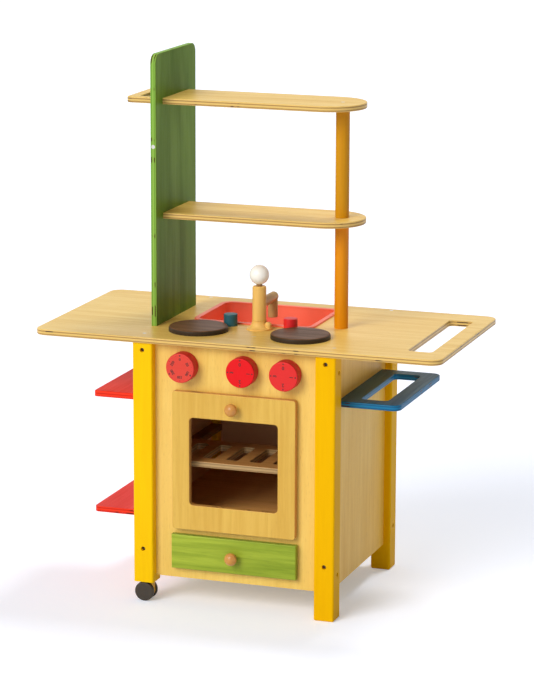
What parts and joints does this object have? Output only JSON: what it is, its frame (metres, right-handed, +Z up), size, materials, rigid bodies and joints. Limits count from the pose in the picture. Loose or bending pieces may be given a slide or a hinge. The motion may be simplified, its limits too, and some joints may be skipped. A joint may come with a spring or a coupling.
{
  "type": "play kitchen",
  "caption": "Wooden play kitchen with a drop-down oven door, drawer, turning dials, sink with swinging spout, hobs, tall shelf tower, side shelves, towel rack and casters under two legs.",
  "frame": {"origin": "on the floor, at the middle of the overall width and depth", "axes": "+X to the right seen from the front, +Y to the back, +Z up"},
  "size_m": [0.85, 0.4508, 1.1],
  "materials": {
    "birch_ply": "clear varnished birch plywood with dark edge plies",
    "ply_panel": "lacquered plywood",
    "yellow_lacquer": "yellow glazed wood",
    "orange_lacquer": "orange glazed dowel",
    "green_stain": "green stained plywood",
    "green_drawer": "yellow green stained wood",
    "red_stain": "red stained plywood",
    "blue_stain": "blue stained plywood",
    "red_lacquer": "red lacquered wood, satin",
    "hob_brown": "dark brown stained wood",
    "red_plastic": "moulded plastic",
    "knob_wood": "oiled brown wood",
    "beech": "turned beech",
    "blue_lacquer": "blue lacquered wood, satin",
    "ball_wood": "pale varnished wood",
    "zinc": "zinc plated steel",
    "brass_pin": "plated",
    "magnet": "plated",
    "caster_hood": "golden brown plastic",
    "caster_tread": "dark nylon"
  },
  "bodies": {
    "cabinet": {"worktop": "birch_ply", "leg_front_left": "yellow_lacquer", "leg_front_right": "yellow_lacquer", "leg_back_left": "yellow_lacquer", "leg_back_right": "yellow_lacquer", "front_panel": "ply_panel", "back_panel": "ply_panel", "side_panel_left": "ply_panel", "side_panel_right": "ply_panel", "bottom_panel": "ply_panel", "oven_floor": "ply_panel", "battens": "beech", "oven_rack": "birch_ply", "hinge_leaves_fixed": "brass_pin", "hinge_pins": "zinc", "door_magnet": "magnet", "drawer_runners": "beech", "hobs": "hob_brown", "sink_basin": "red_plastic", "faucet_foot": "beech", "faucet_peg": "beech", "tower_board": "green_stain", "top_shelf": "birch_ply", "lower_shelf": "birch_ply", "post_upper": "yellow_lacquer", "post_lower": "orange_lacquer", "side_shelves": "red_stain", "towel_rack": "blue_stain", "caster_sleeves": "zinc", "leg_bolts": "zinc", "wood_screws": "zinc"},
    "oven_door": {"oven_door": "ply_panel", "door_knob": "knob_wood", "hinge_leaves_moving": "brass_pin", "door_strike": "zinc"},
    "drawer": {"drawer_front": "green_drawer", "drawer_sides": "birch_ply", "drawer_back": "birch_ply", "drawer_bottom": "birch_ply", "drawer_stop": "beech", "drawer_knob": "knob_wood"},
    "dial_oven": {"dial_oven": "red_lacquer", "dial_oven_screw": "zinc"},
    "dial_hob_left": {"dial_hob_left": "red_lacquer", "dial_hob_left_screw": "zinc"},
    "dial_hob_right": {"dial_hob_right": "red_lacquer", "dial_hob_right_screw": "zinc"},
    "tap_cold": {"tap_cold": "blue_lacquer", "tap_cold_screw": "zinc"},
    "tap_hot": {"tap_hot": "red_lacquer", "tap_hot_screw": "zinc"},
    "faucet": {"faucet_post": "beech", "faucet_pivot": "zinc", "faucet_arm": "beech", "faucet_outlet": "beech", "faucet_ball": "ball_wood"},
    "caster_front": {"caster_front_hood": "caster_hood"},
    "caster_front_wheels": {"caster_front_wheels": "caster_tread"},
    "caster_back": {"caster_back_hood": "caster_hood"},
    "caster_back_wheels": {"caster_back_wheels": "caster_tread"}
  },
  "joints": [
    {"name": "oven_door_hinge", "type": "hinge", "parent": "cabinet", "child": "oven_door", "pos_m": [0, -0.1886, 0.1623], "axis": [1, 0, 0], "range_deg": [0, 90]},
    {"name": "drawer_slide", "type": "slide", "parent": "cabinet", "child": "drawer", "axis": [0, -1, 0], "range_m": [0, 0.2]},
    {"name": "dial_oven_turn", "type": "hinge", "parent": "cabinet", "child": "dial_oven", "pos_m": [-0.108, -0.1856, 0.494], "axis": [0, -1, 0], "continuous": true},
    {"name": "dial_hob_left_turn", "type": "hinge", "parent": "cabinet", "child": "dial_hob_left", "pos_m": [0.018, -0.1856, 0.494], "axis": [0, -1, 0], "continuous": true},
    {"name": "dial_hob_right_turn", "type": "hinge", "parent": "cabinet", "child": "dial_hob_right", "pos_m": [0.108, -0.1856, 0.494], "axis": [0, -1, 0], "continuous": true},
    {"name": "tap_cold_turn", "type": "hinge", "parent": "cabinet", "child": "tap_cold", "pos_m": [-0.063, -0.0416, 0.55], "axis": [0, 0, 1], "continuous": true},
    {"name": "tap_hot_turn", "type": "hinge", "parent": "cabinet", "child": "tap_hot", "pos_m": [0.065, -0.0416, 0.55], "axis": [0, 0, 1], "continuous": true},
    {"name": "faucet_swing", "type": "hinge", "parent": "cabinet", "child": "faucet", "pos_m": [0.002, -0.0516, 0.568], "axis": [0, 0, 1], "range_deg": [-60, 60]},
    {"name": "caster_front_swivel", "type": "hinge", "parent": "cabinet", "child": "caster_front", "pos_m": [-0.1855, -0.1826, 0.042], "axis": [0, 0, 1], "continuous": true},
    {"name": "caster_front_roll", "type": "hinge", "parent": "caster_front", "child": "caster_front_wheels", "pos_m": [-0.1935, -0.1826, 0.02], "axis": [0, 1, 0], "continuous": true},
    {"name": "caster_back_swivel", "type": "hinge", "parent": "cabinet", "child": "caster_back", "pos_m": [-0.1855, 0.1994, 0.042], "axis": [0, 0, 1], "continuous": true},
    {"name": "caster_back_roll", "type": "hinge", "parent": "caster_back", "child": "caster_back_wheels", "pos_m": [-0.1935, 0.1994, 0.02], "axis": [0, 1, 0], "continuous": true}
  ]
}
